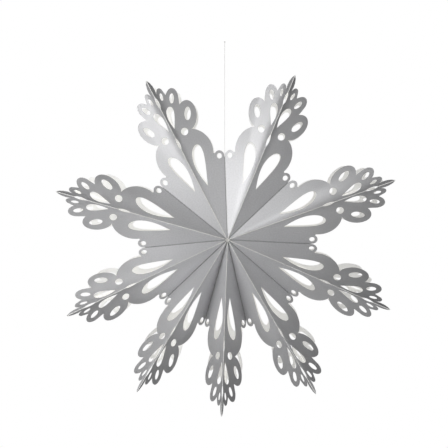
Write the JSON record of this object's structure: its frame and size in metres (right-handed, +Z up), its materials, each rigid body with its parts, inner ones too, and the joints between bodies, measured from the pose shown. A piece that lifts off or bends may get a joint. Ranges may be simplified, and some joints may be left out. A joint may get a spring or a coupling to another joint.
{
  "type": "paper snowflake star",
  "caption": "Fold-out hanging star of die-cut satin paper: hollow bellows arms around a pinched centre, lacy petal tips, and a fine hanging thread.",
  "frame": {"origin": "top end of the hanging thread, under its knot", "axes": "+X to the right, +Y to the rear, +Z up; the star's mid plane is XZ"},
  "size_m": [0.5485, 0.2398, 0.6104],
  "materials": {
    "silver_paper": "satin silver outside, white inside",
    "white_paper": "matt",
    "magnet": "nickel plated",
    "thread": "waxed white thread"
  },
  "bodies": {
    "hanger": {"hanging_knot": "thread"},
    "thread": {"hanging_thread": "thread"},
    "closure_fixed": {"closure_flap_fixed": "white_paper", "magnets_fixed": "magnet", "centre_binding": "thread", "thread_loop": "thread"},
    "seam1": {"glue_seam1": "white_paper"},
    "seam2": {"glue_seam2": "white_paper"},
    "seam3": {"glue_seam3": "white_paper"},
    "seam4": {"glue_seam4": "white_paper"},
    "seam5": {"glue_seam5": "white_paper"},
    "seam6": {"glue_seam6": "white_paper"},
    "seam7": {"glue_seam7": "white_paper"},
    "seam8": {"glue_seam8": "white_paper"},
    "closure_free": {"closure_flap_free": "white_paper", "magnets_free": "magnet"},
    "arm1_front_left": {"arm1_front_left": "silver_paper"},
    "arm1_front_right": {"arm1_front_right": "silver_paper"},
    "arm1_rear_left": {"arm1_rear_left": "silver_paper"},
    "arm1_rear_right": {"arm1_rear_right": "silver_paper"},
    "arm2_front_left": {"arm2_front_left": "silver_paper"},
    "arm2_front_right": {"arm2_front_right": "silver_paper"},
    "arm2_rear_left": {"arm2_rear_left": "silver_paper"},
    "arm2_rear_right": {"arm2_rear_right": "silver_paper"},
    "arm3_front_left": {"arm3_front_left": "silver_paper"},
    "arm3_front_right": {"arm3_front_right": "silver_paper"},
    "arm3_rear_left": {"arm3_rear_left": "silver_paper"},
    "arm3_rear_right": {"arm3_rear_right": "silver_paper"},
    "arm4_front_left": {"arm4_front_left": "silver_paper"},
    "arm4_front_right": {"arm4_front_right": "silver_paper"},
    "arm4_rear_left": {"arm4_rear_left": "silver_paper"},
    "arm4_rear_right": {"arm4_rear_right": "silver_paper"},
    "arm5_front_left": {"arm5_front_left": "silver_paper"},
    "arm5_front_right": {"arm5_front_right": "silver_paper"},
    "arm5_rear_left": {"arm5_rear_left": "silver_paper"},
    "arm5_rear_right": {"arm5_rear_right": "silver_paper"},
    "arm6_front_left": {"arm6_front_left": "silver_paper"},
    "arm6_front_right": {"arm6_front_right": "silver_paper"},
    "arm6_rear_left": {"arm6_rear_left": "silver_paper"},
    "arm6_rear_right": {"arm6_rear_right": "silver_paper"},
    "arm7_front_left": {"arm7_front_left": "silver_paper"},
    "arm7_front_right": {"arm7_front_right": "silver_paper"},
    "arm7_rear_left": {"arm7_rear_left": "silver_paper"},
    "arm7_rear_right": {"arm7_rear_right": "silver_paper"},
    "arm8_front_left": {"arm8_front_left": "silver_paper"},
    "arm8_front_right": {"arm8_front_right": "silver_paper"},
    "arm8_rear_left": {"arm8_rear_left": "silver_paper"},
    "arm8_rear_right": {"arm8_rear_right": "silver_paper"},
    "arm9_front_left": {"arm9_front_left": "silver_paper"},
    "arm9_front_right": {"arm9_front_right": "silver_paper"},
    "arm9_rear_left": {"arm9_rear_left": "silver_paper"},
    "arm9_rear_right": {"arm9_rear_right": "silver_paper"}
  },
  "joints": [
    {"name": "thread_sway", "type": "hinge", "parent": "hanger", "child": "thread", "pos_m": [0, 0, 0], "axis": [0, 1, 0], "range_deg": [-25, 25]},
    {"name": "star_swivel", "type": "hinge", "parent": "thread", "child": "closure_fixed", "pos_m": [0, 0, -0.1874], "axis": [0, 0, 1], "continuous": true},
    {"name": "seam1_turn", "type": "hinge", "parent": "closure_fixed", "child": "seam1", "pos_m": [0.005, 0, -0.332], "axis": [0, -1, 0], "range_deg": [0, 6.08]},
    {"name": "seam2_turn", "type": "hinge", "parent": "closure_fixed", "child": "seam2", "pos_m": [0.005, 0, -0.332], "axis": [0, -1, 0], "range_deg": [0, 11.87]},
    {"name": "seam3_turn", "type": "hinge", "parent": "closure_fixed", "child": "seam3", "pos_m": [0.005, 0, -0.332], "axis": [0, -1, 0], "range_deg": [0, 16.64]},
    {"name": "seam4_turn", "type": "hinge", "parent": "closure_fixed", "child": "seam4", "pos_m": [0.005, 0, -0.332], "axis": [0, -1, 0], "range_deg": [0, 21.17]},
    {"name": "seam5_turn", "type": "hinge", "parent": "closure_fixed", "child": "seam5", "pos_m": [0.005, 0, -0.332], "axis": [0, -1, 0], "range_deg": [0, 24.72]},
    {"name": "seam6_turn", "type": "hinge", "parent": "closure_fixed", "child": "seam6", "pos_m": [0.005, 0, -0.332], "axis": [0, -1, 0], "range_deg": [0, 28.57]},
    {"name": "seam7_turn", "type": "hinge", "parent": "closure_fixed", "child": "seam7", "pos_m": [0.005, 0, -0.332], "axis": [0, -1, 0], "range_deg": [0, 33.33]},
    {"name": "seam8_turn", "type": "hinge", "parent": "closure_fixed", "child": "seam8", "pos_m": [0.005, 0, -0.332], "axis": [0, -1, 0], "range_deg": [0, 38.88]},
    {"name": "fan_fold", "type": "hinge", "parent": "closure_fixed", "child": "closure_free", "pos_m": [0.005, 0, -0.332], "axis": [0, -1, 0], "range_deg": [0, 45]},
    {"name": "arm1_front_left_fold", "type": "hinge", "parent": "closure_fixed", "child": "arm1_front_left", "pos_m": [0.0055, -0.003, -0.33198], "axis": [0.0349, 0, -0.9994], "range_deg": [0, 12.52]},
    {"name": "arm1_front_right_fold", "type": "hinge", "parent": "seam1", "child": "arm1_front_right", "pos_m": [0.00466, -0.003, -0.33164], "axis": [0.7254, 0, 0.6884], "range_deg": [0, 12.52]},
    {"name": "arm1_rear_left_fold", "type": "hinge", "parent": "closure_fixed", "child": "arm1_rear_left", "pos_m": [0.0055, 0.003, -0.33198], "axis": [-0.0349, 0, 0.9994], "range_deg": [0, 12.52]},
    {"name": "arm1_rear_right_fold", "type": "hinge", "parent": "seam1", "child": "arm1_rear_right", "pos_m": [0.00466, 0.003, -0.33164], "axis": [-0.7254, 0, -0.6884], "range_deg": [0, 12.52]},
    {"name": "arm2_front_left_fold", "type": "hinge", "parent": "seam1", "child": "arm2_front_left", "pos_m": [0.00534, -0.003, -0.33236], "axis": [-0.7254, 0, -0.6884], "range_deg": [0, 10.66]},
    {"name": "arm2_front_right_fold", "type": "hinge", "parent": "seam2", "child": "arm2_front_right", "pos_m": [0.00502, -0.003, -0.3315], "axis": [0.9988, 0, -0.0488], "range_deg": [0, 10.66]},
    {"name": "arm2_rear_left_fold", "type": "hinge", "parent": "seam1", "child": "arm2_rear_left", "pos_m": [0.00534, 0.003, -0.33236], "axis": [0.7254, 0, 0.6884], "range_deg": [0, 10.66]},
    {"name": "arm2_rear_right_fold", "type": "hinge", "parent": "seam2", "child": "arm2_rear_right", "pos_m": [0.00502, 0.003, -0.3315], "axis": [-0.9988, 0, 0.0488], "range_deg": [0, 10.66]},
    {"name": "arm3_front_left_fold", "type": "hinge", "parent": "seam2", "child": "arm3_front_left", "pos_m": [0.00498, -0.003, -0.3325], "axis": [-0.9988, 0, 0.0488], "range_deg": [0, 6.73]},
    {"name": "arm3_front_right_fold", "type": "hinge", "parent": "seam3", "child": "arm3_front_right", "pos_m": [0.00533, -0.003, -0.33162], "axis": [0.7547, 0, -0.6561], "range_deg": [0, 6.73]},
    {"name": "arm3_rear_left_fold", "type": "hinge", "parent": "seam2", "child": "arm3_rear_left", "pos_m": [0.00498, 0.003, -0.3325], "axis": [0.9988, 0, -0.0488], "range_deg": [0, 6.73]},
    {"name": "arm3_rear_right_fold", "type": "hinge", "parent": "seam3", "child": "arm3_rear_right", "pos_m": [0.00533, 0.003, -0.33162], "axis": [-0.7547, 0, 0.6561], "range_deg": [0, 6.73]},
    {"name": "arm4_front_left_fold", "type": "hinge", "parent": "seam3", "child": "arm4_front_left", "pos_m": [0.00467, -0.003, -0.33238], "axis": [-0.7547, 0, 0.6561], "range_deg": [0, 6.09]},
    {"name": "arm4_front_right_fold", "type": "hinge", "parent": "seam4", "child": "arm4_front_right", "pos_m": [0.00549, -0.003, -0.33189], "axis": [0.2215, 0, -0.9751], "range_deg": [0, 6.09]},
    {"name": "arm4_rear_left_fold", "type": "hinge", "parent": "seam3", "child": "arm4_rear_left", "pos_m": [0.00467, 0.003, -0.33238], "axis": [0.7547, 0, -0.6561], "range_deg": [0, 6.09]},
    {"name": "arm4_rear_right_fold", "type": "hinge", "parent": "seam4", "child": "arm4_rear_right", "pos_m": [0.00549, 0.003, -0.33189], "axis": [-0.2215, 0, 0.9751], "range_deg": [0, 6.09]},
    {"name": "arm5_front_left_fold", "type": "hinge", "parent": "seam4", "child": "arm5_front_left", "pos_m": [0.00451, -0.003, -0.33211], "axis": [-0.2215, 0, 0.9751], "range_deg": [0, 4.18]},
    {"name": "arm5_front_right_fold", "type": "hinge", "parent": "seam5", "child": "arm5_front_right", "pos_m": [0.00548, -0.003, -0.33213], "axis": [-0.2689, 0, -0.9632], "range_deg": [0, 4.18]},
    {"name": "arm5_rear_left_fold", "type": "hinge", "parent": "seam4", "child": "arm5_rear_left", "pos_m": [0.00451, 0.003, -0.33211], "axis": [0.2215, 0, -0.9751], "range_deg": [0, 4.18]},
    {"name": "arm5_rear_right_fold", "type": "hinge", "parent": "seam5", "child": "arm5_rear_right", "pos_m": [0.00548, 0.003, -0.33213], "axis": [0.2689, 0, 0.9632], "range_deg": [0, 4.18]},
    {"name": "arm6_front_left_fold", "type": "hinge", "parent": "seam5", "child": "arm6_front_left", "pos_m": [0.00452, -0.003, -0.33187], "axis": [0.2689, 0, 0.9632], "range_deg": [0, 4.69]},
    {"name": "arm6_front_right_fold", "type": "hinge", "parent": "seam6", "child": "arm6_front_right", "pos_m": [0.00534, -0.003, -0.33236], "axis": [-0.7242, 0, -0.6896], "range_deg": [0, 4.69]},
    {"name": "arm6_rear_left_fold", "type": "hinge", "parent": "seam5", "child": "arm6_rear_left", "pos_m": [0.00452, 0.003, -0.33187], "axis": [-0.2689, 0, -0.9632], "range_deg": [0, 4.69]},
    {"name": "arm6_rear_right_fold", "type": "hinge", "parent": "seam6", "child": "arm6_rear_right", "pos_m": [0.00534, 0.003, -0.33236], "axis": [0.7242, 0, 0.6896], "range_deg": [0, 4.69]},
    {"name": "arm7_front_left_fold", "type": "hinge", "parent": "seam6", "child": "arm7_front_left", "pos_m": [0.00466, -0.003, -0.33164], "axis": [0.7242, 0, 0.6896], "range_deg": [0, 6.69]},
    {"name": "arm7_front_right_fold", "type": "hinge", "parent": "seam7", "child": "arm7_front_right", "pos_m": [0.00505, -0.003, -0.3325], "axis": [-0.9954, 0, -0.0958], "range_deg": [0, 6.69]},
    {"name": "arm7_rear_left_fold", "type": "hinge", "parent": "seam6", "child": "arm7_rear_left", "pos_m": [0.00466, 0.003, -0.33164], "axis": [-0.7242, 0, -0.6896], "range_deg": [0, 6.69]},
    {"name": "arm7_rear_right_fold", "type": "hinge", "parent": "seam7", "child": "arm7_rear_right", "pos_m": [0.00505, 0.003, -0.3325], "axis": [0.9954, 0, 0.0958], "range_deg": [0, 6.69]},
    {"name": "arm8_front_left_fold", "type": "hinge", "parent": "seam7", "child": "arm8_front_left", "pos_m": [0.00495, -0.003, -0.3315], "axis": [0.9954, 0, 0.0958], "range_deg": [0, 9.44]},
    {"name": "arm8_front_right_fold", "type": "hinge", "parent": "seam8", "child": "arm8_front_right", "pos_m": [0.00469, -0.003, -0.33239], "axis": [-0.7782, 0, 0.628], "range_deg": [0, 9.44]},
    {"name": "arm8_rear_left_fold", "type": "hinge", "parent": "seam7", "child": "arm8_rear_left", "pos_m": [0.00495, 0.003, -0.3315], "axis": [-0.9954, 0, -0.0958], "range_deg": [0, 9.44]},
    {"name": "arm8_rear_right_fold", "type": "hinge", "parent": "seam8", "child": "arm8_rear_right", "pos_m": [0.00469, 0.003, -0.33239], "axis": [0.7782, 0, -0.628], "range_deg": [0, 9.44]},
    {"name": "arm9_front_left_fold", "type": "hinge", "parent": "seam8", "child": "arm9_front_left", "pos_m": [0.00531, -0.003, -0.33161], "axis": [0.7782, 0, -0.628], "range_deg": [0, 13.15]},
    {"name": "arm9_front_right_fold", "type": "hinge", "parent": "closure_free", "child": "arm9_front_right", "pos_m": [0.0045, -0.003, -0.33202], "axis": [-0.0349, 0, 0.9994], "range_deg": [0, 13.15]},
    {"name": "arm9_rear_left_fold", "type": "hinge", "parent": "seam8", "child": "arm9_rear_left", "pos_m": [0.00531, 0.003, -0.33161], "axis": [-0.7782, 0, 0.628], "range_deg": [0, 13.15]},
    {"name": "arm9_rear_right_fold", "type": "hinge", "parent": "closure_free", "child": "arm9_rear_right", "pos_m": [0.0045, 0.003, -0.33202], "axis": [0.0349, 0, -0.9994], "range_deg": [0, 13.15]}
  ],
  "couplings": [
    {"joint": "seam1_turn", "follows": "fan_fold", "ratio": 0.13472},
    {"joint": "seam2_turn", "follows": "fan_fold", "ratio": 0.26333},
    {"joint": "seam3_turn", "follows": "fan_fold", "ratio": 0.36944},
    {"joint": "seam4_turn", "follows": "fan_fold", "ratio": 0.47},
    {"joint": "seam5_turn", "follows": "fan_fold", "ratio": 0.54889},
    {"joint": "seam6_turn", "follows": "fan_fold", "ratio": 0.63444},
    {"joint": "seam7_turn", "follows": "fan_fold", "ratio": 0.74028},
    {"joint": "seam8_turn", "follows": "fan_fold", "ratio": 0.86361},
    {"joint": "arm1_front_left_fold", "follows": "fan_fold", "ratio": 0.27779},
    {"joint": "arm1_front_right_fold", "follows": "fan_fold", "ratio": 0.27779},
    {"joint": "arm1_rear_left_fold", "follows": "fan_fold", "ratio": 0.27779},
    {"joint": "arm1_rear_right_fold", "follows": "fan_fold", "ratio": 0.27779},
    {"joint": "arm2_front_left_fold", "follows": "fan_fold", "ratio": 0.23646},
    {"joint": "arm2_front_right_fold", "follows": "fan_fold", "ratio": 0.23646},
    {"joint": "arm2_rear_left_fold", "follows": "fan_fold", "ratio": 0.23646},
    {"joint": "arm2_rear_right_fold", "follows": "fan_fold", "ratio": 0.23646},
    {"joint": "arm3_front_left_fold", "follows": "fan_fold", "ratio": 0.14906},
    {"joint": "arm3_front_right_fold", "follows": "fan_fold", "ratio": 0.14906},
    {"joint": "arm3_rear_left_fold", "follows": "fan_fold", "ratio": 0.14906},
    {"joint": "arm3_rear_right_fold", "follows": "fan_fold", "ratio": 0.14906},
    {"joint": "arm4_front_left_fold", "follows": "fan_fold", "ratio": 0.13491},
    {"joint": "arm4_front_right_fold", "follows": "fan_fold", "ratio": 0.13491},
    {"joint": "arm4_rear_left_fold", "follows": "fan_fold", "ratio": 0.13491},
    {"joint": "arm4_rear_right_fold", "follows": "fan_fold", "ratio": 0.13491},
    {"joint": "arm5_front_left_fold", "follows": "fan_fold", "ratio": 0.092358},
    {"joint": "arm5_front_right_fold", "follows": "fan_fold", "ratio": 0.092358},
    {"joint": "arm5_rear_left_fold", "follows": "fan_fold", "ratio": 0.092358},
    {"joint": "arm5_rear_right_fold", "follows": "fan_fold", "ratio": 0.092358},
    {"joint": "arm6_front_left_fold", "follows": "fan_fold", "ratio": 0.10382},
    {"joint": "arm6_front_right_fold", "follows": "fan_fold", "ratio": 0.10382},
    {"joint": "arm6_rear_left_fold", "follows": "fan_fold", "ratio": 0.10382},
    {"joint": "arm6_rear_right_fold", "follows": "fan_fold", "ratio": 0.10382},
    {"joint": "arm7_front_left_fold", "follows": "fan_fold", "ratio": 0.14831},
    {"joint": "arm7_front_right_fold", "follows": "fan_fold", "ratio": 0.14831},
    {"joint": "arm7_rear_left_fold", "follows": "fan_fold", "ratio": 0.14831},
    {"joint": "arm7_rear_right_fold", "follows": "fan_fold", "ratio": 0.14831},
    {"joint": "arm8_front_left_fold", "follows": "fan_fold", "ratio": 0.20937},
    {"joint": "arm8_front_right_fold", "follows": "fan_fold", "ratio": 0.20937},
    {"joint": "arm8_rear_left_fold", "follows": "fan_fold", "ratio": 0.20937},
    {"joint": "arm8_rear_right_fold", "follows": "fan_fold", "ratio": 0.20937},
    {"joint": "arm9_front_left_fold", "follows": "fan_fold", "ratio": 0.29187},
    {"joint": "arm9_front_right_fold", "follows": "fan_fold", "ratio": 0.29187},
    {"joint": "arm9_rear_left_fold", "follows": "fan_fold", "ratio": 0.29187},
    {"joint": "arm9_rear_right_fold", "follows": "fan_fold", "ratio": 0.29187}
  ]
}
